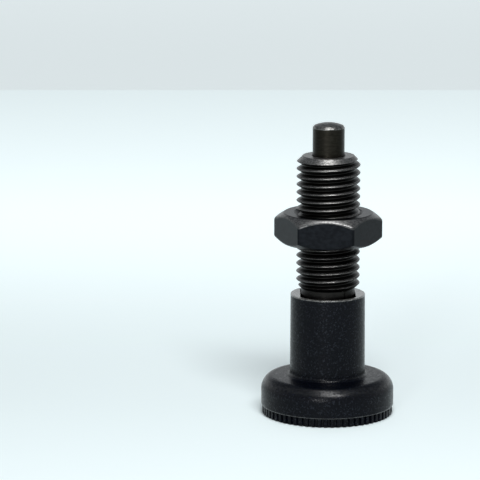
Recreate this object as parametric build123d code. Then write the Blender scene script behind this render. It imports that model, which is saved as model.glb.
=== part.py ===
from build123d import *
from math import cos, pi, radians, tan
import os

# Indexing plunger with a lock nut, a plastic pull knob and a parking position.
#
# A spring drives the locking pin out of a threaded guide. Pulling the knob draws the pin in.
# The knob's sleeve has two lands at its mouth. With the pin out they lie round the guide's neck.
# The guide's tail is a head with two flats, so the lands slide over it only while they line up
# with the flats. Past the head the knob can be turned a quarter turn, and the lands then rest
# on the head's rear face and keep the pin drawn in.
#
# Frame, in millimetres: the axis is Z, the origin is the centre of the knob's flat end,
# and the pin points along +Z. The flats of the guide's head face along X.

# ---- Locking pin and stroke ----
pin_size = 6.0                  # nominal diameter of the locking pin
pin_undersize = 0.03            # the pin is ground this much under its nominal diameter
pin_reach = 6.2                 # how far the pin stands out of the guide, at the middle of its tip
pin_tip_radius = 7.0            # the tip is slightly domed
pin_tip_chamfer_width = 0.43
pin_tip_chamfer_length = 0.65
overtravel = 0.8                # how much further than flush the pin can be drawn in
rod_play = 0.5                  # room between the spring and the rod inside it, on diameter

# ---- Threaded guide ----
thread_size = 12.0              # nominal diameter of the fine metric thread
thread_pitch = 1.5
thread_depth_share = 0.6134     # depth of an ISO metric thread on a bar, as a share of its pitch
crest_allowance = 0.06          # the thread's crests lie this much under nominal, on diameter
thread_end_chamfer = 1.15
guide_reach = 26.3              # from the knob's mouth to the guide's front face
neck_reach = 1.15               # plain neck that shows between the thread and the knob
neck_relief = 0.06              # the neck lies this much under the thread's root, on diameter
rear_wall = 3.5                 # web at the guide's rear that the spring bears on
head_chamfer = 0.3
bore_oversize = 0.02            # the pin's bore is reamed this much over nominal
bore_chamfer = 0.2
rod_clearance = 0.1             # the rod's hole over the rod, on diameter

# ---- Spring ----
wire_diameter = 0.6
spring_play = 0.3               # the spring's outside under the pin's nominal size, on diameter
spring_length = 18.0            # as fitted, with the pin out
active_coils = 7.5
dead_coils = 1.0                # closed coils at each end
ground_depth = 0.25             # how far the end coils are ground flat

# ---- Knob ----
knob_diameter = 25.0
knob_height = 23.0
flange_height = 7.3             # the flat end to the flange's upper face
shoulder_width = 2.3            # radial half axis of the round shoulder
shoulder_drop = 2.7             # axial half axis of the round shoulder
sleeve_wall = 0.85
sleeve_draft = 0.08             # how much the sleeve's radius grows down to the flange
sleeve_fillet = 0.6
end_round = 0.35                # round at the edge of the flat end
land_thickness = 2.0            # the two lands at the sleeve's mouth, along the axis
land_clearance = 0.2            # the gap between the lands over the neck
land_gap = 0.3                  # lands to the head with the pin out, along the axis
park_clearance = 0.5            # lands to the head with the pin fully drawn in
head_clearance = 0.3            # the sleeve's bore over the head, on diameter
end_wall = 4.0                  # the knob's flat end to the bottom of the rod's hole
rod_interference = 0.06         # press fit of the rod's end, on diameter
rod_end_chamfer = 0.4

# ---- Serrated rim of the knob ----
serration_count = 64
serration_height = 1.75         # the flat end to the top of the serrated band
serration_step = 0.2            # the band lies this much inside the flange
serration_depth = 0.45
serration_share = 0.52          # the part of the pitch that a groove takes at the rim
serration_taper = 80.0          # angle between a groove's floor and its flanks

# ---- Lock nut ----
nut_wall = 2.85                 # the thread to the nut's flats
nut_thickness = 5.7
nut_seat = 9.85                 # from the knob's mouth to the nut's lower face
nut_turn = -4.4                 # where the nut was left, in degrees about the axis
nut_chamfer_angle = 32.0        # between the corner chamfer and the nut's faces
nut_front_margin = 0.85         # the face circle inside the flats, towards the pin
nut_rear_margin = 0.35          # the same at the nut's face towards the knob
nut_corner_break = 0.1          # how much is taken off the hexagon's corners
nut_bore_clearance = 0.09       # the nut's bore over the thread's nominal size, on diameter
nut_countersink = 0.55          # how far the countersink opens past the thread

# ---- Sizes that follow from those ----
root_diameter = thread_size - 2 * thread_depth_share * thread_pitch
crest_diameter = thread_size - crest_allowance
pin_diameter = pin_size - pin_undersize
bore_diameter = pin_size + bore_oversize
spring_outside = pin_size - spring_play
rod_diameter = spring_outside - 2 * wire_diameter - rod_play
neck_diameter = root_diameter - neck_relief
head_flats = neck_diameter
head_diameter = thread_size
stroke = pin_reach + overtravel
head_length = stroke - land_thickness - land_gap - park_clearance
sleeve_bore = head_diameter + head_clearance
sleeve_diameter = sleeve_bore + 2 * sleeve_wall
land_opening = neck_diameter + land_clearance
nut_flats = thread_size + 2 * nut_wall
serration_radius = knob_diameter / 2 - serration_step

# ---- Heights along the axis ----
mouth_z = knob_height
head_top_z = mouth_z - land_thickness - land_gap
head_rear_z = head_top_z - head_length
spring_seat_z = head_rear_z + rear_wall
pin_shoulder_z = spring_seat_z + spring_length
guide_face_z = mouth_z + guide_reach
pin_tip_z = guide_face_z + pin_reach
thread_start_z = mouth_z + neck_reach
rod_end_z = end_wall
nut_seat_z = mouth_z + nut_seat


def turned(*outline):
    """A solid turned about the axis from its half section, given as lines and arcs."""
    return revolve(Plane.XZ * make_face(Wire(outline)), Axis.Z)


def round_bar(diameter, low_z, high_z):
    """A plain cylinder on the axis."""
    return Pos(0, 0, low_z) * extrude(Circle(diameter / 2), high_z - low_z)


def threaded_guide():
    """The guide: thread as a bar at its crest size, neck, head with two flats, and the bore."""
    crest = crest_diameter / 2
    neck = neck_diameter / 2
    head = head_diameter / 2
    run_out = crest - neck
    outline = Polyline(
        (0, head_rear_z),
        (head - head_chamfer, head_rear_z),
        (head, head_rear_z + head_chamfer),
        (head, head_top_z - head_chamfer),
        (head - head_chamfer, head_top_z),
        (neck, head_top_z),
        (neck, thread_start_z),
        (crest, thread_start_z + run_out),
        (crest, guide_face_z - thread_end_chamfer),
        (crest - thread_end_chamfer, guide_face_z),
        (0, guide_face_z),
        close=True,
    )
    guide = turned(*outline.edges())

    across = head_diameter
    flat_cut = Box(across, 2 * across, head_length, align=(Align.MIN, Align.CENTER, Align.MIN))
    for side in (0, 180):
        guide -= Rot(0, 0, side) * Pos(head_flats / 2, 0, head_rear_z) * flat_cut

    guide -= round_bar(bore_diameter, spring_seat_z, guide_face_z)
    guide -= round_bar(rod_diameter + rod_clearance, head_rear_z, spring_seat_z)
    mouth_radius = bore_diameter / 2 + bore_chamfer
    mouth = Cone(bore_diameter / 2, mouth_radius, bore_chamfer, align=(Align.CENTER, Align.CENTER, Align.MAX))
    return guide - Pos(0, 0, guide_face_z) * mouth


def locking_pin():
    """The pin: ground front, shoulder for the spring, thin rod and the end that the knob grips."""
    front = pin_diameter / 2
    rod = rod_diameter / 2
    grip = rod + rod_interference / 2
    dome = front - pin_tip_chamfer_width
    dome_fall = pin_tip_radius - (pin_tip_radius ** 2 - dome ** 2) ** 0.5
    half_fall = pin_tip_radius - (pin_tip_radius ** 2 - (dome / 2) ** 2) ** 0.5
    wall = Polyline(
        (0, pin_tip_z),
        (0, rod_end_z),
        (grip - rod_end_chamfer, rod_end_z),
        (grip, rod_end_z + rod_end_chamfer),
        (grip, head_rear_z),
        (rod, head_rear_z),
        (rod, pin_shoulder_z),
        (front, pin_shoulder_z),
        (front, pin_tip_z - dome_fall - pin_tip_chamfer_length),
        (dome, pin_tip_z - dome_fall),
    )
    tip = ThreePointArc((dome, pin_tip_z - dome_fall), (dome / 2, pin_tip_z - half_fall), (0, pin_tip_z))
    return turned(*wall.edges(), tip)


def compression_spring():
    """Round wire with closed, ground ends, wound in three stretches that follow each other."""
    radius = (spring_outside - wire_diameter) / 2
    start_z = spring_seat_z + wire_diameter / 2 - ground_depth
    dead_height = dead_coils * wire_diameter
    active_height = spring_length - wire_diameter + 2 * ground_depth - 2 * dead_height
    stretches = (
        (dead_coils, dead_height),
        (active_coils, active_height),
        (dead_coils, dead_height),
    )
    spring = None
    turned_by = 0.0
    for coils, height in stretches:
        path = Rot(0, 0, turned_by) * Helix(height / coils, height, radius, center=(0, 0, start_z))
        section = Plane(origin=path @ 0, z_dir=path % 0) * Circle(wire_diameter / 2)
        stretch = sweep(section, path=path, is_frenet=True)
        spring = stretch if spring is None else spring + stretch
        turned_by += 360 * coils
        start_z += height
    return spring & round_bar(pin_size, spring_seat_z, pin_shoulder_z)


def knob_blank():
    """The knob's outside: flat end, serrated band, round shoulder, fillet and sleeve."""
    rim = knob_diameter / 2
    band = serration_radius
    mouth = sleeve_diameter / 2
    foot = mouth + sleeve_draft
    shoulder_z = flange_height - shoulder_drop
    diagonal = end_round * (1 - 0.5 ** 0.5)
    fillet_diagonal = sleeve_fillet * (1 - 0.5 ** 0.5)
    return turned(
        Line((0, 0), (band - end_round, 0)),
        ThreePointArc((band - end_round, 0), (band - diagonal, diagonal), (band, end_round)),
        Line((band, end_round), (band, serration_height)),
        Line((band, serration_height), (rim, serration_height)),
        Line((rim, serration_height), (rim, shoulder_z)),
        EllipticalCenterArc((rim - shoulder_width, shoulder_z), shoulder_width, shoulder_drop, arc_size=90),
        Line((rim - shoulder_width, flange_height), (foot + sleeve_fillet, flange_height)),
        ThreePointArc(
            (foot + sleeve_fillet, flange_height),
            (foot + fillet_diagonal, flange_height + fillet_diagonal),
            (foot, flange_height + sleeve_fillet),
        ),
        Line((foot, flange_height + sleeve_fillet), (mouth, mouth_z)),
        Line((mouth, mouth_z), (0, mouth_z)),
        Line((0, mouth_z), (0, 0)),
    )


def serration_grooves():
    """The grooves of the knob's serrated band, which run out through the flat end's edge."""
    width = serration_share * 2 * serration_radius * pi / serration_count
    inside = Rot(0, 0, 90) * Trapezoid(width, serration_depth, serration_taper, align=(Align.CENTER, Align.MIN))
    outside = Rectangle(knob_diameter, width, align=(Align.MIN, Align.CENTER))
    groove = extrude(Pos(serration_radius, 0) * (inside + outside), serration_height)
    return PolarLocations(0, serration_count) * groove


def pull_knob():
    """The moulded knob: round bore behind two lands at the mouth, and a hole that grips the rod."""
    slot = Circle(sleeve_bore / 2) & Rectangle(land_opening, sleeve_bore)
    mouth_slot = Pos(0, 0, mouth_z - land_thickness) * extrude(slot, land_thickness)
    cavity = round_bar(sleeve_bore, head_rear_z, mouth_z - land_thickness)
    rod_hole = round_bar(rod_diameter, rod_end_z, head_rear_z)
    return knob_blank() - serration_grooves() - mouth_slot - cavity - rod_hole


def lock_nut():
    """A thin hexagon nut with both faces chamfered and its thread countersunk at both ends."""
    thick = nut_thickness
    flats = nut_flats / 2
    front_face = flats - nut_front_margin
    rear_face = flats - nut_rear_margin
    bore = (thread_size + nut_bore_clearance) / 2
    sink = thread_size / 2 + nut_countersink
    corner = flats / cos(radians(30)) - nut_corner_break
    slope = tan(radians(nut_chamfer_angle))
    hexagon = extrude(RegularPolygon(flats, 6, major_radius=False), thick)
    envelope = Polyline(
        (bore, sink - bore),
        (sink, 0),
        (rear_face, 0),
        (corner, (corner - rear_face) * slope),
        (corner, thick - (corner - front_face) * slope),
        (front_face, thick),
        (sink, thick),
        (bore, thick - (sink - bore)),
        close=True,
    )
    nut = hexagon & turned(*envelope.edges())
    return Pos(0, 0, nut_seat_z) * Rot(0, 0, nut_turn) * nut


PIECES = {
    "threaded_guide": threaded_guide,
    "locking_pin": locking_pin,
    "compression_spring": compression_spring,
    "pull_knob": pull_knob,
    "lock_nut": lock_nut,
}

os.makedirs("parts", exist_ok=True)
for name, make in PIECES.items():
    export_step(make(), f"parts/{name}.step")
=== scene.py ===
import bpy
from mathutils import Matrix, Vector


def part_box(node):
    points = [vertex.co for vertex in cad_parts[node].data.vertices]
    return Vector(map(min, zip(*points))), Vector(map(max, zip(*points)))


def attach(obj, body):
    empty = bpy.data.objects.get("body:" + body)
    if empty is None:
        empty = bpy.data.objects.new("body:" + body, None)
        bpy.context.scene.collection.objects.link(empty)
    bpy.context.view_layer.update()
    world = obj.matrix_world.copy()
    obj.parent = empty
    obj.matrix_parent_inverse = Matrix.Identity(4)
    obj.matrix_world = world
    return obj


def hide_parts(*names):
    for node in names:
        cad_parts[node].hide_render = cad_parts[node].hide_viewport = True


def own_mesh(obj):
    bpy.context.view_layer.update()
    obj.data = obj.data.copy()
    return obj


bl_info = {
    "name": "Indexing Plunger",
    "version": (1, 0, 0),
    "blender": (4, 5, 0),
    "location": "3D View > Sidebar > Plunger",
    "description": "Builds the visible pieces, finishes and studio of an indexing plunger",
    "category": "Object",
}

from math import acos, atan, cos, pi, radians, sin, sqrt, tan

import bmesh
import bpy
from bpy.props import FloatProperty, FloatVectorProperty, IntProperty, PointerProperty
from mathutils import Vector

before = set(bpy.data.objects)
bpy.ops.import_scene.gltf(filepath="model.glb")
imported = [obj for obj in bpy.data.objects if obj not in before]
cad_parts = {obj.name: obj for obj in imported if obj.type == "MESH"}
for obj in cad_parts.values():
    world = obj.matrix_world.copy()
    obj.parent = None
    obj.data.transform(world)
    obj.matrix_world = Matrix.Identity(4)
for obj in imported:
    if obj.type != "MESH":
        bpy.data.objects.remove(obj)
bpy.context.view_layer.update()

MM = 0.001
TURN = 2 * pi

GUIDE_LOW, GUIDE_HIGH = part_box("threaded_guide")
PIN_LOW, PIN_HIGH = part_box("locking_pin")
SPRING_LOW, SPRING_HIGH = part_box("compression_spring")
KNOB_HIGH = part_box("pull_knob")[1]
NUT_LOW, NUT_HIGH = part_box("lock_nut")

# Vertices nearer than this are one vertex.
SAME_PLACE = 0.0002 * MM
# Edges that turn more than this are shaded sharp.
SHARP_ANGLE = radians(38)
# Steps in which a rounded edge turns, the knob's shoulder and the pin's dome.
ROUND_STEPS = 3
SHOULDER_STEPS = 18
DOME_STEPS = 6
# Steps once round the guide, the pin, one coil of the spring and the spring's wire.
GUIDE_STEPS = 136
PIN_STEPS = 128
COIL_STEPS = 40
WIRE_STEPS = 14
# Distance from a rounded edge at which its wear has faded out: the usual one, and a thread crest's.
WEAR_REACH = 0.22 * MM
CREST_WEAR_REACH = 0.3 * MM
# Of a side between two corners: the share that a round may take, and of the rest, the share for its wear.
ROUND_SHARE = 0.45
WEAR_SHARE = 0.48
# How far the cut for the nut's countersinks stays clear of its thread between them.
THROAT_GAP = 0.1 * MM
# A groove of the serrated band, from its middle: (share of the pitch, share of the depth, edge).
GROOVE_SECTION = (
    (0.0, 1.0, 0.0),
    (0.17, 1.0, 0.0),
    (0.2, 0.92, 0.0),
    (0.25, 0.12, 0.15),
    (0.285, 0.0, 0.15),
    (0.34, 0.0, 0.0),
)
# Angles from a corner of the nut at which its outlines stand: shares of the corner's round, then degrees.
CORNER_SHARES = (0, 0.5, 1, 1.8)
FACET_DEGREES = (3, 6, 9.5, 13, 16.5, 20, 23.5, 27, 30)
# Vertex attribute: 1 on a convex edge, -1 on a concave one, 0 elsewhere. Values below 0 darken the steel as
# painted shade.
EDGE = "edge"


def length(name, description, millimetres):
    """A property that holds a length."""
    default = millimetres * MM
    return FloatProperty(name=name, description=description, default=default, unit="LENGTH", precision=5)


def angle_of(name, description, degrees):
    """A property that holds an angle."""
    return FloatProperty(name=name, description=description, default=radians(degrees), subtype="ANGLE")


def number(name, description, default):
    """A property that holds a plain number."""
    return FloatProperty(name=name, description=description, default=default)


def colour(name, description, default):
    """A property that holds a colour."""
    return FloatVectorProperty(
        name=name, description=description, default=default, size=3, min=0, max=1, subtype="COLOR"
    )


# ---- Sizes and colours ----


class PLUNGER_PG_thread(bpy.types.PropertyGroup):
    """The right-hand thread that the guide and the nut share."""

    pitch: length("Pitch", "Rise of the thread in one turn", 1.5)
    root_radius: length("Root radius", "Radius at the bottom of the guide's thread", 5.08)
    root_half: length("Root half width", "Half the width between the flanks at the root", 0.124)
    root_round: length("Root round", "Round at the bottom of the thread", 0.2)
    crest_bevel: length("Crest bevel", "Depth of the worn slopes beside the crest", 0.16)
    crest_round: length("Crest round", "Round at the edges of the crest", 0.08)
    flank_angle: angle_of("Flank angle", "Angle between a flank and a section plane", 30)
    phase: number("Phase", "Height of a crest at the +X side, in pitches", 0.72)
    nut_gap: length("Nut gap", "Gap between the guide's flanks and the nut's", 0.05)
    nut_minor_radius: length("Nut minor radius", "Radius at the nut's inner crests", 5.2)


class PLUNGER_PG_guide(bpy.types.PropertyGroup):
    """The threaded guide."""

    neck_top: length("Neck top", "Height where the thread begins", 24.15)
    neck_radius: length("Neck radius", "Radius of the neck, and half the head's width over its flats", 5.05)
    head_top: length("Head top", "Height of the head's front", 20.7)
    end_chamfer: length("End chamfer", "Chamfer at the thread's front end", 1.15)
    head_chamfer: length("Head chamfer", "Chamfer at the head's edges", 0.3)
    bore_radius: length("Bore radius", "Radius of the bore for the pin", 3.01)
    bore_chamfer: length("Bore chamfer", "Chamfer at the bore's mouth", 0.2)
    rod_hole_radius: length("Rod hole radius", "Radius of the hole for the pin's rod", 2.05)
    edge_round: length("Edge round", "Round of the turned edges", 0.06)
    cone_polish: number("Cone polish", "How bright the end cone is rubbed", 0.76)
    face_polish: number("Face polish", "How bright the end face is rubbed", 1.0)
    # Painted shade: the neck between the thread and the knob's mouth is darkened as though in shade.
    neck_shade: number("Neck shade", "How dark the neck is, from 0 to -1", -0.9)


class PLUNGER_PG_pin(bpy.types.PropertyGroup):
    """The locking pin."""

    rod_radius: length("Rod radius", "Radius of the thin rod inside the spring", 2.0)
    tip_radius: length("Tip radius", "Radius of the pin's slightly domed tip", 7.0)
    tip_chamfer_width: length("Tip chamfer width", "Chamfer round the dome, across", 0.25)
    tip_chamfer_length: length("Tip chamfer length", "Chamfer round the dome, along the axis", 0.37)
    edge_round: length("Edge round", "Round of the pin's edges", 0.06)
    chamfer_polish: number("Chamfer polish", "How bright the chamfer is rubbed", 0.8)
    dome_polish: number("Dome polish", "How bright the dome is rubbed", 0.8)


class PLUNGER_PG_spring(bpy.types.PropertyGroup):
    """The spring inside the guide."""

    wire_radius: length("Wire radius", "Half the wire's thickness", 0.3)
    active_coils: number("Active coils", "Coils that move", 7.5)
    closed_coils: number("Closed coils", "Closed coils at each end", 1.0)
    ground_depth: length("Ground depth", "How far the ends are ground flat", 0.25)
    shortest: number("Shortest", "Length with the pin drawn in, as a share of the fitted length", 11 / 18)


class PLUNGER_PG_knob(bpy.types.PropertyGroup):
    """The moulded pull knob."""

    flange_top: length("Flange top", "Height of the flange", 7.3)
    shoulder_width: length("Shoulder width", "Round shoulder, across", 2.3)
    shoulder_drop: length("Shoulder drop", "Round shoulder, along the axis", 2.7)
    sleeve_radius: length("Sleeve radius", "Radius of the sleeve at its mouth", 7.0)
    sleeve_draft: length("Sleeve draft", "Growth of that radius down to the flange", 0.08)
    sleeve_fillet: length("Sleeve fillet", "Fillet between the sleeve and the flange", 0.6)
    mouth_round: length("Mouth round", "Round of the sleeve's mouth", 0.1)
    bore_radius: length("Bore radius", "Radius of the bore behind the lands", 6.15)
    bore_bottom: length("Bore bottom", "Height of the bore's bottom", 16.5)
    land_depth: length("Land depth", "Depth of the two lands at the mouth", 2.0)
    slot_half: length("Slot half width", "Half the opening between the lands", 5.15)
    band_height: length("Band height", "Height of the serrated band", 1.75)
    band_step: length("Band step", "The band's step inside the flange", 0.2)
    step_round: length("Step round", "Round of the flange's lower edge", 0.07)
    end_round: length("End round", "Round at the flat end", 0.35)
    # Partly scuff and partly painted sheen: it lightens the mouth's whole top face where it reflects the
    # bright surround.
    mouth_scuff_and_sheen: number("Mouth scuff and sheen", "How scuffed the sleeve's mouth is", 0.8)
    step_scuff: number("Step scuff", "How scuffed the flange's lower edge is", 0.45)
    # Partly polish and partly painted highlight: it lightens the shoulder's colour most where its highlight
    # falls.
    shoulder_polish_and_highlight: number("Shoulder polish and highlight", "How far hands have polished the shoulder", 0.28)
    groove_count: IntProperty(name="Grooves", description="Grooves round the band", default=64)
    groove_depth: length("Groove depth", "Depth of a groove", 0.45)


class PLUNGER_PG_nut(bpy.types.PropertyGroup):
    """The lock nut."""

    flats_half: length("Half across flats", "Distance from the axis to a flat", 8.85)
    front_radius: length("Front face radius", "Radius of the flat face towards the pin", 8.25)
    rear_radius: length("Rear face radius", "Radius of the flat face towards the knob", 8.5)
    chamfer_angle: angle_of("Chamfer angle", "Angle between the corner chamfer and the faces", 32)
    sink_radius: length("Countersink radius", "Radius of the countersink at the faces", 6.55)
    turned: angle_of("Turned", "Where the nut stands about the axis", -4.4)
    edge_round: length("Edge round", "Round of the faces' edges", 0.12)
    face_round: length("Face round", "Round between the front face and the cone of the corners", 0.36)
    rim_round: length("Rim round", "Round where the chamfer meets the flats", 0.3)
    corner_blend: number("Corner blend", "Growth of that round towards the front corners", 0.4)
    corner_round: length("Corner round", "Round of the six corners", 0.5)
    cone_polish: number("Cone polish", "How bright the corners' cone is rubbed", 0.88)
    face_wear: number("Face wear", "Wear of the front face's edges, from 0 to 1", 0.35)
    rear_wear: number("Rear wear", "Wear of the rear edges as a share of the front's", 0.2)


class PLUNGER_PG_finish(bpy.types.PropertyGroup):
    """Colours of the finishes."""

    oxide: colour("Oxide", "Blackened steel of the guide", (0.018, 0.017, 0.016))
    nut_oxide: colour("Nut oxide", "Blackened steel of the nut", (0.0095, 0.0105, 0.0125))
    bare_steel: colour("Bare steel", "Steel where the black is rubbed off", (0.34, 0.336, 0.328))
    pin_steel: colour("Pin steel", "Burnished steel of the pin", (0.018, 0.0162, 0.013))
    wire: colour("Spring wire", "Drawn spring wire", (0.42, 0.41, 0.39))
    plastic: colour("Plastic", "Moulded plastic of the knob", (0.001, 0.0016, 0.0038))
    # Also used as painted sheen on the knob's mouth and as a painted highlight on its shoulder.
    plastic_scuff_and_sheen: colour("Scuffed plastic and sheen", "Plastic where its edges are rubbed", (0.2, 0.2, 0.192))


class PLUNGER_PG_stage(bpy.types.PropertyGroup):
    """Camera, lamps and floor."""

    camera_at: FloatVectorProperty(
        name="Camera", description="Where the camera stands", default=(-16.51 * MM, -560 * MM, 146.5 * MM),
        size=3, unit="LENGTH", precision=4,
    )
    camera_pitch: angle_of("Pitch", "How far the camera looks down", 11.44)
    camera_lens: number("Lens", "Focal length in millimetres", 228.6)
    floor_colour: colour("Floor", "The sheet that the plunger stands on", (0.785, 0.885, 0.905))
    ground_colour: colour("Ground", "What lies beyond the sheet", (0.66, 0.725, 0.74))
    sheet_glow: FloatVectorProperty(
        name="Sheet glow", description="Light that the sheet adds of its own, in front and at the back",
        default=(0.03, 0.62), size=2,
    )
    ground_glow: FloatVectorProperty(
        name="Ground glow", description="Light that the ground adds of its own, in front and at the back",
        default=(0.655, 1.03), size=2,
    )
    surround_colour: colour("Surround", "What is seen past the floor", (0.86, 0.90, 0.92))
    ceiling_colour: colour("Ceiling", "What is high above the floor", (0.20, 0.22, 0.24))
    fill: number("Fill", "Light from all round", 0.15)
    sheet_end: length("Sheet end", "Where the sheet ends, behind the plunger", 406.0)
    top_power: number("Top lamp", "Power of the soft lamp overhead", 1.6)
    key_power: number("Key lamp", "Power of the soft lamp high in front", 2.4)
    front_power: number("Front lamp", "Power of the soft lamp in front", 0.7)


GROUPS = {
    "plunger_thread": PLUNGER_PG_thread,
    "plunger_guide": PLUNGER_PG_guide,
    "plunger_pin": PLUNGER_PG_pin,
    "plunger_spring": PLUNGER_PG_spring,
    "plunger_knob": PLUNGER_PG_knob,
    "plunger_nut": PLUNGER_PG_nut,
    "plunger_finish": PLUNGER_PG_finish,
    "plunger_stage": PLUNGER_PG_stage,
}


# ---- Outlines and meshes ----


def rounded(*corners, wear=WEAR_REACH):
    """An outline of (radius, height, edge) points from (radius, height, round) corners.

    The solid lies to the left. Edge is 1 on a convex round, -1 on a concave one and 0 elsewhere.
    """
    points = [(corners[0][0], corners[0][1], 0.0)]
    for before, here, after in zip(corners, corners[1:], corners[2:]):
        points += round_corner(Vector(before[:2]), Vector(here[:2]), Vector(after[:2]), here[2], wear)
    points.append((corners[-1][0], corners[-1][1], 0.0))
    return points


def round_corner(before, here, after, size, wear):
    """The points of one rounded corner, with one more at each side where its wear ends."""
    if size == 0:
        return [(here.x, here.y, 0.0)]
    back, on = before - here, after - here
    back_length, on_length = back.length, on.length
    back.normalize()
    on.normalize()
    half = back.angle(on, pi) / 2
    reach = min(size / tan(half), ROUND_SHARE * back_length, ROUND_SHARE * on_length)
    size = reach * tan(half)
    centre = here + (back + on).normalized() * size / sin(half)
    start = here + back * reach - centre
    end = here + on * reach - centre
    sweep = pi - 2 * half
    edge = 1.0 if on.cross(back) > 0 else -1.0
    points = [here + back * (reach + min(wear, WEAR_SHARE * (back_length - reach)))]
    for step in range(ROUND_STEPS + 1):
        t = step / ROUND_STEPS
        points.append(centre + (start * sin((1 - t) * sweep) + end * sin(t * sweep)) / sin(sweep))
    points.append(here + on * (reach + min(wear, WEAR_SHARE * (on_length - reach))))
    edges = [0.0] + [edge] * (ROUND_STEPS + 1) + [0.0]
    return [(p.x, p.y, e) for p, e in zip(points, edges)]


def even_angles(count, extra=()):
    """Angles once round, both ends included, with the extra ones in their places."""
    return sorted(set([TURN * i / count for i in range(count + 1)]) | set(extra))


def corner_angles(half_width, radius):
    """Where a circle of that radius meets two flats that face along X."""
    corner = acos(half_width / radius)
    return [corner, pi - corner, pi + corner, TURN - corner]


def width_at(half_width, angle):
    """Distance from the axis to two flats that face along X, and nearly endless along Y."""
    return half_width / max(abs(cos(angle)), 1e-6)


def add_columns(bm, angles, column):
    """Adds a skin to bm: for each angle, column gives an outline of as many points as the others."""
    edge_layer = bm.verts.layers.float.get(EDGE) or bm.verts.layers.float.new(EDGE)
    before = None
    for angle in angles:
        line = []
        for radius, height, edge in column(angle):
            vertex = bm.verts.new((radius * cos(angle), radius * sin(angle), height))
            vertex[edge_layer] = edge
            line.append(vertex)
        if before:
            for k in range(len(line) - 1):
                bm.faces.new((before[k], line[k], line[k + 1], before[k + 1]))
        before = line


def make_piece(bm, name, node, body, material):
    """Turns bm into a closed, smooth mesh object that stands for a CAD node and moves with its body."""
    bmesh.ops.remove_doubles(bm, verts=bm.verts, dist=SAME_PLACE)
    bmesh.ops.dissolve_degenerate(bm, edges=bm.edges, dist=SAME_PLACE)
    bmesh.ops.recalc_face_normals(bm, faces=bm.faces)
    mesh = bpy.data.meshes.new(name)
    bm.to_mesh(mesh)
    bm.free()
    mesh.polygons.foreach_set("use_smooth", [True] * len(mesh.polygons))
    mesh.set_sharp_from_angle(angle=SHARP_ANGLE)
    mesh.materials.append(material)
    piece = bpy.data.objects.new(name, mesh)
    bpy.context.scene.collection.objects.link(piece)
    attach(piece, body)
    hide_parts(node)
    return piece


# ---- The thread ----


def through(*points):
    """A function whose value runs straight between (value, place) points, with their places rising."""

    def value_at(place):
        for (v0, p0), (v1, p1) in zip(points, points[1:]):
            if place <= p1:
                return v0 + (v1 - v0) * max(place - p0, 0) / (p1 - p0)
        return points[-1][0]

    return value_at


def guide_pitch(thread, crest):
    """One pitch of the guide's thread about a crest at height 0, worn above the crest's middle only."""
    half, root = thread.pitch / 2, thread.root_radius
    slope = tan(thread.flank_angle)
    root_start = half - thread.root_half
    bevel = crest - thread.crest_bevel
    bevel_half = crest_half_width(thread, crest) + thread.crest_bevel * slope
    crest_half = bevel_half - thread.crest_bevel
    outline = rounded(
        (root, -half, 0),
        (root, -root_start, thread.root_round),
        (bevel, -bevel_half, thread.crest_round),
        (crest, -crest_half, thread.crest_round),
        (crest, crest_half, thread.crest_round),
        (bevel, bevel_half, thread.crest_round),
        (root, root_start, thread.root_round),
        (root, half, 0),
        wear=CREST_WEAR_REACH,
    )
    return [(r, z, 0.0 if e > 0 and z < 0 else e) for r, z, e in outline]


def nut_pitch(thread, crest):
    """One pitch of the nut's thread about a root at height 0, clear of the guide's by the gap."""
    half, minor = thread.pitch / 2, thread.nut_minor_radius
    major = crest + thread.nut_gap
    root_half = crest_half_width(thread, crest)
    crest_start = root_half + (major - minor) * tan(thread.flank_angle)
    outline = rounded(
        (minor, -half, 0),
        (minor, -crest_start, thread.crest_round),
        (major, -root_half, thread.crest_round),
        (major, root_half, thread.crest_round),
        (minor, crest_start, thread.crest_round),
        (minor, half, 0),
    )
    return [(r, z, -e) for r, z, e in outline]


def crest_half_width(thread, crest):
    """Half the width of the guide's crest, which its pitch and depth leave."""
    return thread.pitch / 2 - thread.root_half - (crest - thread.root_radius) * tan(thread.flank_angle)


def thread_column(thread, one_pitch, low, high, limit, within, angle, front_edge=0.0):
    """The thread's outline at one angle between two heights, cut by the turned limit.

    Within says that the solid is inside the limit, as a bar is, and not round it, as a nut is.
    Front_edge is the edge value on the limit's front half.
    """
    middle = (low + high) / 2

    def on_limit(height):
        return (limit(height), height, front_edge if height > middle else 0.0)

    # Two turns to spare at each end, because the thread climbs by one as it goes round.
    first = int(low / thread.pitch - thread.phase) - 2
    last = int(high / thread.pitch - thread.phase) + 2
    points = []
    for turn in range(first, last):
        lift = (turn + thread.phase + angle / TURN) * thread.pitch
        points += [(radius, height + lift, edge) for radius, height, edge in one_pitch[:-1]]
    proud = [(r - limit(z)) * (1 if within else -1) for r, z, e in points]
    held = [on_limit(z) if p > 0 else (r, z, e) for (r, z, e), p in zip(points, proud)]
    for k in range(len(points) - 1):
        if (proud[k] > 0) != (proud[k + 1] > 0):
            t = proud[k] / (proud[k] - proud[k + 1])
            height = points[k][1] + t * (points[k + 1][1] - points[k][1])
            held[k if t < 0.5 else k + 1] = (limit(height), height, 1.0)
    return [(r, z, e) if low < z < high else on_limit(min(max(z, low), high)) for r, z, e in held]


# ---- Finishes ----


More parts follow.
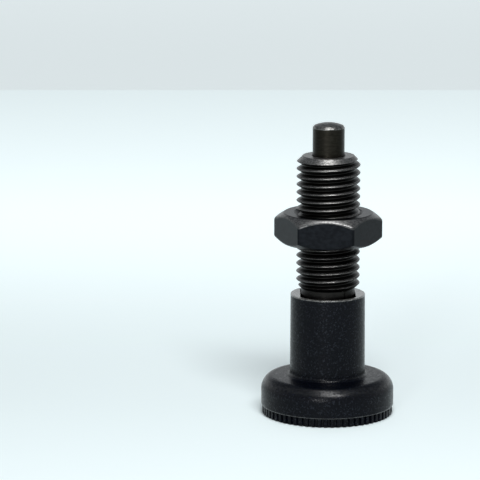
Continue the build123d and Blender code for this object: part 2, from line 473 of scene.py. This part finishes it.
class Nodes:
    """Adds shader nodes to a tree and links them as they are made."""

    def __init__(self, tree):
        self.tree = tree

    def add(self, kind, settings=None, **inputs):
        """A new node with these settings, and with inputs that are values or other nodes' sockets."""
        node = self.tree.nodes.new(kind)
        node.location = (200 * len(self.tree.nodes), 0)
        for key, value in (settings or {}).items():
            setattr(node, key, value)
        for key, value in inputs.items():
            self.put(node.inputs[key], value)
        return node

    def put(self, socket, value):
        """Gives a socket a value, or links another node's socket to it."""
        if isinstance(value, bpy.types.NodeSocket):
            self.tree.links.new(value, socket)
        else:
            socket.default_value = value

    def math(self, operation, *values):
        """The result of a math node."""
        node = self.add("ShaderNodeMath", {"operation": operation})
        for socket, value in zip(node.inputs, values):
            self.put(socket, value)
        return node.outputs[0]

    def remap(self, value, low, high, to_low=0.0, to_high=1.0):
        """To_low where the value is low or less, to_high where it is high or more, smooth between."""
        node = self.add("ShaderNodeMapRange", {"interpolation_type": "SMOOTHSTEP"}, Value=value)
        self.put(node.inputs["From Min"], low)
        self.put(node.inputs["From Max"], high)
        self.put(node.inputs["To Min"], to_low)
        self.put(node.inputs["To Max"], to_high)
        return node.outputs[0]

    def mix(self, factor, first, second):
        """The first colour where the factor is 0, the second where it is 1."""
        node = self.add("ShaderNodeMix", {"data_type": "RGBA"})
        # Its sockets go by number, because those of its other data types have the same names.
        self.put(node.inputs[0], factor)
        self.put(node.inputs[6], first)
        self.put(node.inputs[7], second)
        return node.outputs[2]

    def noise(self, size, detail, place=None, along=None):
        """Noise whose patches are about that size, over the surface or, with along, in rings."""
        dimensions = "3D" if along is None else "1D"
        node = self.add("ShaderNodeTexNoise", {"noise_dimensions": dimensions}, Detail=detail)
        if along is None:
            self.put(node.inputs["Vector"], place)
            self.put(node.inputs["Scale"], self.math("DIVIDE", 1.0, size))
        else:
            self.put(node.inputs["W"], self.math("DIVIDE", along, size))
            self.put(node.inputs["Scale"], 1.0)
        return node.outputs[0]

    def object_place(self):
        """Places in the object's own coordinates."""
        return self.add("ShaderNodeTexCoord").outputs["Object"]


def new_group(name, inputs, outputs):
    """A new shader group with float sockets: its Nodes, its inputs and its output node."""
    tree = bpy.data.node_groups.new(name, "ShaderNodeTree")
    for socket, default in inputs.items():
        made = tree.interface.new_socket(name=socket, in_out="INPUT", socket_type="NodeSocketFloat")
        made.default_value = default
    for socket in outputs:
        tree.interface.new_socket(name=socket, in_out="OUTPUT", socket_type="NodeSocketFloat")
    nodes = Nodes(tree)
    return nodes, nodes.add("NodeGroupInput").outputs, nodes.add("NodeGroupOutput").inputs


def grain_group(name):
    """Fine even grain: its height, and a mask of its peaks."""
    nodes, given, out = new_group(name, {"Size": 0.3 * MM}, ["Height", "Peaks"])
    height = nodes.noise(given["Size"], 3.0, nodes.object_place())
    nodes.put(out["Height"], height)
    nodes.put(out["Peaks"], nodes.remap(height, low=0.52, high=0.72))
    return nodes.tree


def turning_group(name):
    """Marks that a lathe tool leaves: the height of its rings, and a mask of streaks along them."""
    inputs = {"Spacing": 0.08 * MM, "Streak": 0.5 * MM, "Stretch": 0.2}
    nodes, given, out = new_group(name, inputs, ["Height", "Streaks"])
    place = nodes.add("ShaderNodeSeparateXYZ", Vector=nodes.object_place()).outputs
    squares = [nodes.math("POWER", place[axis], 2.0) for axis in "XY"]
    radius = nodes.math("SQRT", nodes.math("ADD", *squares))
    rings = nodes.noise(given["Spacing"], 2.0, along=nodes.math("SUBTRACT", place["Z"], radius))
    nodes.put(out["Height"], rings)
    across = {axis: nodes.math("MULTIPLY", place[axis], given["Stretch"]) for axis in "XY"}
    drawn_out = nodes.add("ShaderNodeCombineXYZ", Z=place["Z"], **across)
    streaks = nodes.noise(given["Streak"], 3.0, drawn_out.outputs[0])
    nodes.put(out["Streaks"], nodes.remap(streaks, low=0.3, high=0.7))
    return nodes.tree


def wear_group(name):
    """Where edges are rubbed, broken up by noise, and where concave corners get painted shade."""
    inputs = {"Amount": 1.0, "Patches": 0.6 * MM, "Evenness": 0.5}
    nodes, given, out = new_group(name, inputs, ["Rubbed", "Painted shade"])
    edge = nodes.add("ShaderNodeAttribute", {"attribute_name": EDGE}).outputs["Fac"]
    patches = nodes.noise(given["Patches"], 4.0, nodes.object_place())
    broken = nodes.remap(patches, low=0.36, high=0.62)
    uneven = nodes.math("MULTIPLY", nodes.math("SUBTRACT", 1.0, given["Evenness"]), broken)
    share = nodes.math("ADD", uneven, given["Evenness"])
    rubbed = nodes.math("MULTIPLY", nodes.remap(edge, low=0.15, high=0.95), share)
    nodes.put(out["Rubbed"], nodes.math("MULTIPLY", rubbed, given["Amount"]))
    # Concave corners and other negative edge values give the mask of painted shade.
    nodes.put(out["Painted shade"], nodes.remap(nodes.math("MULTIPLY", edge, -1.0), low=0.1, high=0.9))
    return nodes.tree


def shared(nodes, name, make, values):
    """Places a shared group with its own values in a material, and builds it the first time."""
    tree = bpy.data.node_groups.get(name) or make(name)
    return nodes.add("ShaderNodeGroup", {"node_tree": tree}, **values).outputs


def new_material(name):
    """A material with a Principled BSDF: the material, its Nodes and that shader's inputs."""
    material = bpy.data.materials.new(name)
    material.use_nodes = True
    material.node_tree.nodes.clear()
    nodes = Nodes(material.node_tree)
    shader = nodes.add("ShaderNodeBsdfPrincipled")
    nodes.add("ShaderNodeOutputMaterial", Surface=shader.outputs[0])
    return material, nodes, shader.inputs


def shade(rgb, factor=1.0):
    """A colour for a node's socket, darker or lighter by the factor."""
    return (*(c * factor for c in rgb), 1.0)


def dark_steel(name, steel, bare, smooth, rough, turning, wear):
    """Blackened steel, streaked by its turning, rubbed bright along its edges and darkened in its concave
    corners by painted shade.

    Smooth and rough are its least and greatest roughness. Turning and wear hold the values of those
    two shared groups.
    """
    material, nodes, shader = new_material(name)
    grain = shared(nodes, "Grain", grain_group, {"Size": 0.1 * MM})
    turned = shared(nodes, "Turning", turning_group, turning)
    worn = shared(nodes, "Edge wear", wear_group, wear)
    streaked = nodes.mix(turned["Streaks"], shade(steel, 0.8), shade(steel, 1.25))
    # Painted shade: concave corners, thread roots and the neck are darkened to 0.12 of the steel's colour.
    crevice_shaded = nodes.mix(worn["Painted shade"], streaked, shade(steel, 0.12))
    nodes.put(shader["Base Color"], nodes.mix(worn["Rubbed"], crevice_shaded, shade(bare)))
    roughness = nodes.remap(grain["Height"], low=0.3, high=0.7, to_low=smooth, to_high=rough)
    nodes.put(shader["Roughness"], roughness)
    shader["Metallic"].default_value = 1.0
    fine_grain = nodes.math("MULTIPLY", grain["Height"], 0.5)
    height = nodes.math("ADD", turned["Height"], fine_grain)
    bump = nodes.add("ShaderNodeBump", Height=height, Distance=0.002 * MM)
    nodes.put(shader["Normal"], bump.outputs[0])
    return material


def drawn_wire(name, steel):
    """Satin spring wire."""
    material, nodes, shader = new_material(name)
    grain = shared(nodes, "Grain", grain_group, {"Size": 0.08 * MM})
    nodes.put(shader["Base Color"], nodes.mix(grain["Height"], shade(steel, 0.7), shade(steel)))
    roughness = nodes.remap(grain["Height"], low=0.3, high=0.7, to_low=0.25, to_high=0.4)
    nodes.put(shader["Roughness"], roughness)
    shader["Metallic"].default_value = 1.0
    bump = nodes.add("ShaderNodeBump", Height=grain["Height"], Distance=0.003 * MM)
    nodes.put(shader["Normal"], bump.outputs[0])
    return material


def moulded_plastic(name, plastic, scuff_and_sheen):
    """Glass-filled plastic with the fine sparkling grain of its mould."""
    material, nodes, shader = new_material(name)
    grain = shared(nodes, "Grain", grain_group, {"Size": 0.34 * MM})
    worn = shared(nodes, "Edge wear", wear_group, {"Amount": 0.62, "Patches": 0.4 * MM, "Evenness": 0.35})
    grainy = nodes.mix(grain["Peaks"], shade(plastic, 0.7), shade(plastic, 2.5))
    # The rubbed mask lightens scuffed edges and paints sheen and highlight on the mouth and shoulder.
    nodes.put(shader["Base Color"], nodes.mix(worn["Rubbed"], grainy, shade(scuff_and_sheen)))
    roughness = nodes.remap(grain["Peaks"], low=0.0, high=1.0, to_low=0.29, to_high=0.22)
    nodes.put(shader["Roughness"], roughness)
    shader["Specular IOR Level"].default_value = 0.1
    sparkle = nodes.math("MULTIPLY", grain["Peaks"], 0.3)
    polished = nodes.remap(worn["Rubbed"], low=0.0, high=0.09)
    nodes.put(shader["Coat Weight"], nodes.math("MAXIMUM", sparkle, polished))
    shader["Coat Roughness"].default_value = 0.24
    bump = nodes.add("ShaderNodeBump", Height=grain["Height"], Distance=0.04 * MM)
    nodes.put(shader["Normal"], bump.outputs[0])
    return material


# ---- Operators ----


class PLUNGER_OT_guide(bpy.types.Operator):
    """Builds the threaded guide"""

    bl_idname = "plunger.guide"
    bl_label = "Threaded Guide"

    def execute(self, context):
        scene = context.scene
        thread, guide, finish = scene.plunger_thread, scene.plunger_guide, scene.plunger_finish
        crest, head, face, rear = GUIDE_HIGH.x, GUIDE_HIGH.y, GUIDE_HIGH.z, GUIDE_LOW.z
        neck, neck_top, top = guide.neck_radius, guide.neck_top, guide.head_top
        chamfer, edge = guide.head_chamfer, guide.edge_round
        cone = crest - guide.end_chamfer
        thread_end = face - edge
        limit = through(
            (neck, neck_top),
            (crest, neck_top + crest - neck),
            (crest, face - guide.end_chamfer),
            (cone + edge, thread_end),
        )
        one_pitch = guide_pitch(thread, crest)
        angles = even_angles(GUIDE_STEPS, corner_angles(neck, head))
        outline = rounded(
            (cone + edge, thread_end, 0),
            (cone, face, edge),
            (guide.bore_radius + guide.bore_chamfer, face, edge / 2),
            (guide.bore_radius, face - guide.bore_chamfer, edge / 2),
            (guide.bore_radius, SPRING_LOW.z, 0),
            (guide.rod_hole_radius, SPRING_LOW.z, edge),
            (guide.rod_hole_radius, rear, edge),
            (head - chamfer, rear, edge),
            (head, rear + chamfer, edge),
            (head, top - chamfer, edge),
            (head - chamfer, top, edge),
            (neck, top, edge),
            (neck, neck_top, 0),
        )

        def thread_part(angle):
            polish = guide.cone_polish
            return thread_column(thread, one_pitch, neck_top, thread_end, limit, True, angle, polish)

        def other_part(angle):
            flat = width_at(neck, angle)
            points = [(min(r, flat) if z <= top else r, z, e) for r, z, e in outline]
            # The neck gets a negative edge value, so its colour is darkened as painted shade.
            points = [(r, z, guide.neck_shade if r == neck and z > top else e) for r, z, e in points]
            return [(r, z, max(e, guide.face_polish) if z == face else e) for r, z, e in points]

        bm = bmesh.new()
        add_columns(bm, angles, thread_part)
        add_columns(bm, angles, other_part)
        material = dark_steel(
            "blackened_guide", finish.oxide, finish.bare_steel, smooth=0.33, rough=0.44,
            turning={"Spacing": 0.07 * MM, "Streak": 0.25 * MM},
            wear={"Amount": 0.8, "Patches": 0.25 * MM, "Evenness": 0.35},
        )
        make_piece(bm, "guide_with_thread", "threaded_guide", "guide", material)
        return {"FINISHED"}


class PLUNGER_OT_pin(bpy.types.Operator):
    """Builds the locking pin"""

    bl_idname = "plunger.pin"
    bl_label = "Locking Pin"

    def execute(self, context):
        pin, finish = context.scene.plunger_pin, context.scene.plunger_finish
        front, rod, tip, edge = PIN_HIGH.x, pin.rod_radius, PIN_HIGH.z, pin.edge_round
        rim = front - pin.tip_chamfer_width
        dome = []
        for step in range(DOME_STEPS + 1):
            radius = rim * (1 - step / DOME_STEPS)
            dome.append((radius, tip - pin.tip_radius + sqrt(pin.tip_radius ** 2 - radius ** 2), 0))
        outline = rounded(
            (0, PIN_LOW.z, 0),
            (rod, PIN_LOW.z, edge),
            (rod, SPRING_HIGH.z, 0),
            (front, SPRING_HIGH.z, edge),
            (front, dome[0][1] - pin.tip_chamfer_length, edge),
            (*dome[0][:2], edge),
            *dome[1:],
        )
        chamfer_low = dome[0][1] - pin.tip_chamfer_length - edge

        def tip_wear(radius, height, edge):
            if height <= chamfer_low:
                return edge
            return pin.dome_polish if radius < rim else max(edge, pin.chamfer_polish)

        outline = [(r, z, tip_wear(r, z, e)) for r, z, e in outline]
        bm = bmesh.new()
        add_columns(bm, even_angles(PIN_STEPS), lambda angle: outline)
        material = dark_steel(
            "burnished_pin", finish.pin_steel, finish.bare_steel, smooth=0.32, rough=0.4,
            turning={"Spacing": 0.05 * MM, "Streak": 0.3 * MM, "Stretch": 0.3},
            wear={"Amount": 0.6, "Patches": 0.4 * MM, "Evenness": 0.4},
        )
        make_piece(bm, "ground_pin", "locking_pin", "plunger", material)
        return {"FINISHED"}


class PLUNGER_OT_spring(bpy.types.Operator):
    """Builds the spring at its fitted length; in use it shortens as the pin is drawn in"""

    bl_idname = "plunger.spring"
    bl_label = "Spring"

    def execute(self, context):
        spring, finish = context.scene.plunger_spring, context.scene.plunger_finish
        wire, closed = spring.wire_radius, spring.closed_coils
        coil_radius = SPRING_HIGH.x - wire
        low, high = SPRING_LOW.z, SPRING_HIGH.z
        coils = spring.active_coils + 2 * closed
        start = low + wire - spring.ground_depth
        end = high - wire + spring.ground_depth
        rise = closed * 2 * wire
        middle = through((start, 0), (start + rise, closed), (end - rise, coils - closed), (end, coils))
        steps = int(coils * COIL_STEPS)
        bm = bmesh.new()
        rings = []
        for step in range(steps + 1):
            turns = coils * step / steps
            line = []
            for k in range(WIRE_STEPS):
                radius = coil_radius + wire * cos(TURN * k / WIRE_STEPS)
                height = min(max(middle(turns) + wire * sin(TURN * k / WIRE_STEPS), low), high)
                line.append(bm.verts.new((radius * cos(TURN * turns), radius * sin(TURN * turns), height)))
            rings.append(line)
        for line, after in zip(rings, rings[1:]):
            for k in range(WIRE_STEPS):
                bm.faces.new((line[k], after[k], after[k - 1], line[k - 1]))
        bm.faces.new(rings[0])
        bm.faces.new(rings[-1])
        material = drawn_wire("drawn_wire", finish.wire)
        piece = make_piece(bm, "wound_spring", "compression_spring", "spring", material)
        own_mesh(piece)
        return {"FINISHED"}


class PLUNGER_OT_knob(bpy.types.Operator):
    """Builds the moulded pull knob"""

    bl_idname = "plunger.knob"
    bl_label = "Pull Knob"

    def execute(self, context):
        knob, finish = context.scene.plunger_knob, context.scene.plunger_finish
        rod = context.scene.plunger_pin.rod_radius
        rim, mouth = KNOB_HIGH.x, KNOB_HIGH.z
        band = rim - knob.band_step
        foot = knob.sleeve_radius + knob.sleeve_draft
        shoulder = knob.flange_top - knob.shoulder_drop
        lands = mouth - knob.land_depth
        serrated = rounded((0, 0, 0), (band, 0, knob.end_round), (band, knob.band_height, 0))
        flange = rounded(
            (band, knob.band_height, 0), (rim, knob.band_height, knob.step_round), (rim, shoulder, 0)
        )
        flange = [(r, z, e * knob.step_scuff) for r, z, e in flange]
        for step in range(1, SHOULDER_STEPS):
            angle = pi / 2 * step / SHOULDER_STEPS
            radius = rim - knob.shoulder_width * (1 - cos(angle))
            # Lighter colour peaks halfway round the shoulder, where its highlight falls: partly painted
            # highlight.
            polish = knob.shoulder_polish_and_highlight * sin(2 * angle)
            flange.append((radius, shoulder + knob.shoulder_drop * sin(angle), polish))
        depths = groove_depths(knob.groove_count)
        for angle in corner_angles(knob.slot_half, knob.bore_radius):
            depths.setdefault(angle, (0.0, 0.0))

        def column(angle):
            depth, edge = depths[angle]
            grooved = band - knob.groove_depth * depth
            slot = min(knob.bore_radius, width_at(knob.slot_half, angle))
            sleeve = rounded(
                (rim - knob.shoulder_width, knob.flange_top, 0),
                (foot, knob.flange_top, knob.sleeve_fillet),
                (knob.sleeve_radius, mouth, knob.mouth_round),
                (slot, mouth, knob.mouth_round),
                (slot, lands, 0),
                (knob.bore_radius, lands, 0),
                (knob.bore_radius, knob.bore_bottom, knob.mouth_round),
                (rod, knob.bore_bottom, 0),
                (rod, PIN_LOW.z, 0),
                (0, PIN_LOW.z, 0),
            )
            teeth = [(min(r, grooved), z, edge if r > grooved else 0.0) for r, z, e in serrated]
            # The mouth's top face is lightened: scuffing at its edges and painted sheen over the rest.
            sleeve = [(r, z, max(e, knob.mouth_scuff_and_sheen) if z == mouth else e) for r, z, e in sleeve]
            return teeth + flange[1:] + sleeve

        bm = bmesh.new()
        add_columns(bm, sorted(depths), column)
        material = moulded_plastic("moulded_plastic", finish.plastic, finish.plastic_scuff_and_sheen)
        make_piece(bm, "moulded_knob", "pull_knob", "plunger", material)
        return {"FINISHED"}


def groove_depths(count):
    """For each angle of the serrated band: the share of a groove's depth there, and its edge."""
    depths = {}
    for groove in range(count):
        for share, depth, edge in GROOVE_SECTION:
            for side in (-share, share):
                depths[(groove + side) % count * TURN / count] = (depth, edge)
    depths[TURN] = depths[0.0]
    return depths


class PLUNGER_OT_nut(bpy.types.Operator):
    """Builds the hexagon lock nut with its own thread"""

    bl_idname = "plunger.nut"
    bl_label = "Lock Nut"

    def execute(self, context):
        scene = context.scene
        thread, nut, finish = scene.plunger_thread, scene.plunger_nut, scene.plunger_finish
        low, high, edge = NUT_LOW.z, NUT_HIGH.z, nut.edge_round
        sink, front, rear = nut.sink_radius, nut.front_radius, nut.rear_radius
        throat = thread.nut_minor_radius - THROAT_GAP
        sink_depth = sink - throat
        limit = through(
            (sink - edge, low + edge),
            (throat, low + sink_depth),
            (throat, high - sink_depth),
            (sink - edge, high - edge),
        )
        one_pitch = nut_pitch(thread, GUIDE_HIGH.x)
        fall = tan(nut.chamfer_angle)

        def thread_part(angle):
            return thread_column(thread, one_pitch, low + edge, high - edge, limit, False, angle)

        def other_part(angle):
            wide = hexagon_radius(nut, angle)
            rim = nut.rim_round + nut.corner_blend * (wide - nut.flats_half)
            top, bottom = high - (wide - front) * fall, low + (wide - rear) * fall
            points = rounded(
                (sink - edge, low + edge, 0),
                (sink, low, edge),
                (rear, low, edge),
                (wide, bottom, nut.rim_round),
                (wide, top, rim),
                (front, high, nut.face_round),
                (sink, high, edge),
                (sink - edge, high - edge, 0),
            )
            return [(r, z, nut_wear(nut, r, z, e, top)) for r, z, e in points]

        bm = bmesh.new()
        angles = hexagon_angles(nut)
        add_columns(bm, angles, thread_part)
        add_columns(bm, angles, other_part)
        material = dark_steel(
            "blackened_nut", finish.nut_oxide, finish.bare_steel, smooth=0.3, rough=0.4,
            turning={"Spacing": 0.09 * MM, "Streak": 0.7 * MM, "Stretch": 0.8},
            wear={"Amount": 0.6, "Patches": 0.4 * MM, "Evenness": 0.5},
        )
        make_piece(bm, "nut_with_thread", "lock_nut", "nut", material)
        return {"FINISHED"}


def nut_wear(nut, radius, height, edge, cone_low):
    """The edge value at a point of the nut's outside, whose front cone starts at that height."""
    if height < (NUT_LOW.z + NUT_HIGH.z) / 2:
        return edge * nut.rear_wear
    if radius < nut.front_radius + nut.edge_round:
        return edge * nut.face_wear
    if height > cone_low:
        return nut.cone_polish
    return edge * nut.cone_polish / 2


def corner_place(nut):
    """Of a rounded corner: its round's centre, and the angle that half the round takes."""
    centre = (nut.flats_half - nut.corner_round) / cos(pi / 6)
    reach = atan(nut.corner_round * sin(pi / 6) / (centre + nut.corner_round * cos(pi / 6)))
    return centre, reach


def hexagon_angles(nut):
    """Angles once round, close together at the six corners."""
    centre, reach = corner_place(nut)
    offsets = [share * reach for share in CORNER_SHARES] + [radians(degrees) for degrees in FACET_DEGREES]
    angles = {0.0, TURN}
    for corner in range(6):
        middle = nut.turned + corner * pi / 3
        angles |= {(middle + side * offset) % TURN for offset in offsets for side in (-1, 1)}
    return sorted(angles)


def hexagon_radius(nut, angle):
    """Radius of the hexagon with rounded corners at an angle."""
    centre, reach = corner_place(nut)
    from_flat = (angle - nut.turned) % (pi / 3) - pi / 6
    from_corner = pi / 6 - abs(from_flat)
    if from_corner > reach:
        return nut.flats_half / cos(from_flat)
    across = centre * sin(from_corner)
    return centre * cos(from_corner) + sqrt(nut.corner_round ** 2 - across ** 2)


class PLUNGER_OT_stage(bpy.types.Operator):
    """Sets the floor, the lamps and the camera"""

    bl_idname = "plunger.stage"
    bl_label = "Studio"

    def execute(self, context):
        scene, stage = context.scene, context.scene.plunger_stage
        add_floor(
            "sheet", stage.floor_colour, stage.sheet_glow,
            glow_reach=(0.0, 0.22), across=(-1.6, 1.6), deep=(-1.8, stage.sheet_end), height=0.0,
        )
        add_floor(
            "ground", stage.ground_colour, stage.ground_glow,
            glow_reach=(0.2, 0.9), across=(-4, 4), deep=(-4, 4), height=-1 * MM,
        )
        add_lamp(
            "top_lamp", stage.top_power,
            size=(0.14, 0.54), place=(0.0, -0.14, 0.5), target=(0.0, -0.14, 0.0),
        )
        add_lamp(
            "key_lamp", stage.key_power,
            size=(0.28, 0.12), place=(0.08, -0.42, 0.46), target=(0.0, 0.0, 0.02),
        )
        add_lamp(
            "front_lamp", stage.front_power,
            size=(0.08, 0.08), place=(-0.15, -0.56, 0.13), target=(0.0, 0.0, 0.03),
        )
        set_world(scene, stage)
        camera = bpy.data.objects.new("camera", bpy.data.cameras.new("camera"))
        camera.data.sensor_width = 36
        camera.data.lens = stage.camera_lens
        camera.data.clip_start = 0.01
        camera.data.clip_end = 20
        camera.location = stage.camera_at
        camera.rotation_euler = (pi / 2 - stage.camera_pitch, 0, 0)
        scene.collection.objects.link(camera)
        scene.camera = camera
        scene.view_settings.view_transform = "Standard"
        return {"FINISHED"}


def add_floor(name, rgb, glow, glow_reach, across, deep, height):
    """A flat sheet with a pale, faintly mottled finish that keeps shadows.

    Across and deep are its ends along X and along Y. Its own glow goes from the first of two values
    to the second between two distances along Y.
    """
    bm = bmesh.new()
    (left, right), (front, back) = across, deep
    corners = [(left, front), (right, front), (right, back), (left, back)]
    bm.faces.new([bm.verts.new((x, y, height)) for x, y in corners])
    mesh = bpy.data.meshes.new(name)
    bm.to_mesh(mesh)
    bm.free()
    material, nodes, shader = new_material(name)
    place = nodes.object_place()
    mottle = nodes.noise(90 * MM, 2.0, place)
    nodes.put(shader["Base Color"], nodes.mix(mottle, shade(rgb, 0.985), shade(rgb)))
    shader["Roughness"].default_value = 0.9
    shader["Specular IOR Level"].default_value = 0.1
    shader["Emission Color"].default_value = shade(rgb)
    depth = nodes.add("ShaderNodeSeparateXYZ", Vector=place).outputs["Y"]
    strength = nodes.remap(depth, *glow_reach, *glow)
    nodes.put(shader["Emission Strength"], nodes.math("MULTIPLY", seen_directly(nodes), strength))
    mesh.materials.append(material)
    floor = bpy.data.objects.new(name, mesh)
    bpy.context.scene.collection.objects.link(floor)


def seen_directly(nodes):
    """1 where the camera sees the background, itself or in metal or glass, and 0 where it lights things."""
    path = nodes.add("ShaderNodeLightPath").outputs
    mirrored = nodes.math("MAXIMUM", path["Is Glossy Ray"], path["Is Transmission Ray"])
    return nodes.math("MAXIMUM", path["Is Camera Ray"], mirrored)


def add_lamp(name, power, size, place, target):
    """A soft rectangular lamp that faces the target."""
    light = bpy.data.lights.new(name, "AREA")
    light.shape = "RECTANGLE"
    light.energy = power
    light.size, light.size_y = size
    lamp = bpy.data.objects.new(name, light)
    lamp.location = place
    lamp.rotation_euler = (Vector(place) - Vector(target)).to_track_quat("Z", "Y").to_euler()
    bpy.context.scene.collection.objects.link(lamp)


def set_world(scene, stage):
    """A surround that is pale low down and darker overhead."""
    world = bpy.data.worlds.new("surround")
    world.use_nodes = True
    world.node_tree.nodes.clear()
    nodes = Nodes(world.node_tree)
    strength = nodes.remap(seen_directly(nodes), low=0.0, high=1.0, to_low=stage.fill)
    direction = nodes.add("ShaderNodeTexCoord").outputs["Generated"]
    height = nodes.add("ShaderNodeSeparateXYZ", Vector=direction).outputs["Z"]
    overhead = nodes.remap(height, low=0.22, high=0.5)
    seen = nodes.mix(overhead, shade(stage.surround_colour), shade(stage.ceiling_colour))
    light = nodes.add("ShaderNodeBackground", Color=seen, Strength=strength)
    nodes.add("ShaderNodeOutputWorld", Surface=light.outputs[0])
    scene.world = world


class PLUNGER_PT_panel(bpy.types.Panel):
    """The plunger's operators and sizes."""

    bl_idname = "PLUNGER_PT_panel"
    bl_label = "Indexing Plunger"
    bl_space_type = "VIEW_3D"
    bl_region_type = "UI"
    bl_category = "Plunger"

    def draw(self, context):
        for operator in OPERATORS:
            self.layout.operator(operator.bl_idname)
        for name, group in GROUPS.items():
            box = self.layout.box()
            box.label(text=group.__doc__)
            for key in group.__annotations__:
                box.prop(getattr(context.scene, name), key)


OPERATORS = (
    PLUNGER_OT_guide,
    PLUNGER_OT_pin,
    PLUNGER_OT_spring,
    PLUNGER_OT_knob,
    PLUNGER_OT_nut,
    PLUNGER_OT_stage,
)
CLASSES = (*GROUPS.values(), *OPERATORS, PLUNGER_PT_panel)


def register():
    for cls in CLASSES:
        bpy.utils.register_class(cls)
    for name, group in GROUPS.items():
        setattr(bpy.types.Scene, name, PointerProperty(type=group))


def unregister():
    for name in GROUPS:
        delattr(bpy.types.Scene, name)
    for cls in reversed(CLASSES):
        bpy.utils.unregister_class(cls)


def main():
    register()
    for operator in OPERATORS:
        family, name = operator.bl_idname.split(".")
        getattr(getattr(bpy.ops, family), name)()


if __name__ == "__main__":
    main()
